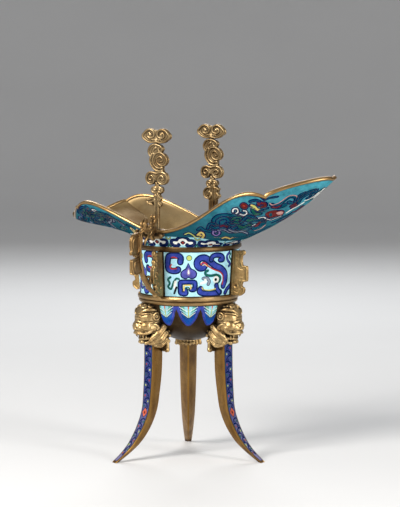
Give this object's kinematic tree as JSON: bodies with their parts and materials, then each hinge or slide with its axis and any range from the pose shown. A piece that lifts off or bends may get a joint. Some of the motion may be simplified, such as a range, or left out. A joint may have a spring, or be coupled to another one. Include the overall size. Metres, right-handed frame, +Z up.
{
  "type": "bronze jue vessel",
  "caption": "Three-legged gilt bronze and cloisonne enamel jue cup with long spout, tail, loop handle, two posts and beast-head legs.",
  "frame": {"origin": "on the vertical axis of the cup, in the plane that the three feet stand on", "axes": "+X towards the spout, -Y towards the handle, +Z up"},
  "size_m": [0.2296, 0.1382, 0.253],
  "materials": {
    "gilt_bronze": "fire-gilt bronze, burnished on the high places, brown patina in the recesses",
    "gilt_inside": "fire gilding over hammered bronze, brushed, pale and slightly dull",
    "enamel_pale": "pale turquoise cloisonne enamel with dark blue cloud scrolls, polished",
    "enamel_turquoise": "turquoise cloisonne enamel, polished, fine pits, gilt wires flush with the surface",
    "enamel_blue": "deep blue cloisonne enamel, polished, fine pits"
  },
  "bodies": {
    "root": {"vessel_body": "gilt_bronze", "lower_moulding": "gilt_bronze", "upper_fillet": "gilt_bronze", "mouth_flare": "gilt_inside", "rim_band": "gilt_bronze", "collar_enamel": "enamel_pale", "spout_enamel": "enamel_turquoise", "tail_enamel": "enamel_turquoise", "panel_front_spout": "enamel_turquoise", "panel_rear_spout": "enamel_turquoise", "panel_rear_tail": "enamel_turquoise", "panel_front_tail": "enamel_turquoise", "bowl_enamel": "enamel_blue", "spout_flange": "gilt_bronze", "rear_flange": "gilt_bronze", "tail_flange": "gilt_bronze", "handle_flange": "gilt_bronze", "handle_loop": "gilt_bronze", "handle_plates": "gilt_bronze", "handle_head": "gilt_bronze", "near_post": "gilt_bronze", "far_post": "gilt_bronze", "near_finial": "gilt_bronze", "far_finial": "gilt_bronze", "spout_leg": "gilt_bronze", "rear_leg": "gilt_bronze", "handle_leg": "gilt_bronze", "spout_leg_enamel": "enamel_blue", "rear_leg_enamel": "enamel_blue", "handle_leg_enamel": "enamel_blue", "spout_head": "gilt_bronze", "rear_head": "gilt_bronze", "handle_side_head": "gilt_bronze", "leg_pins": "gilt_bronze"}
  },
  "joints": []
}
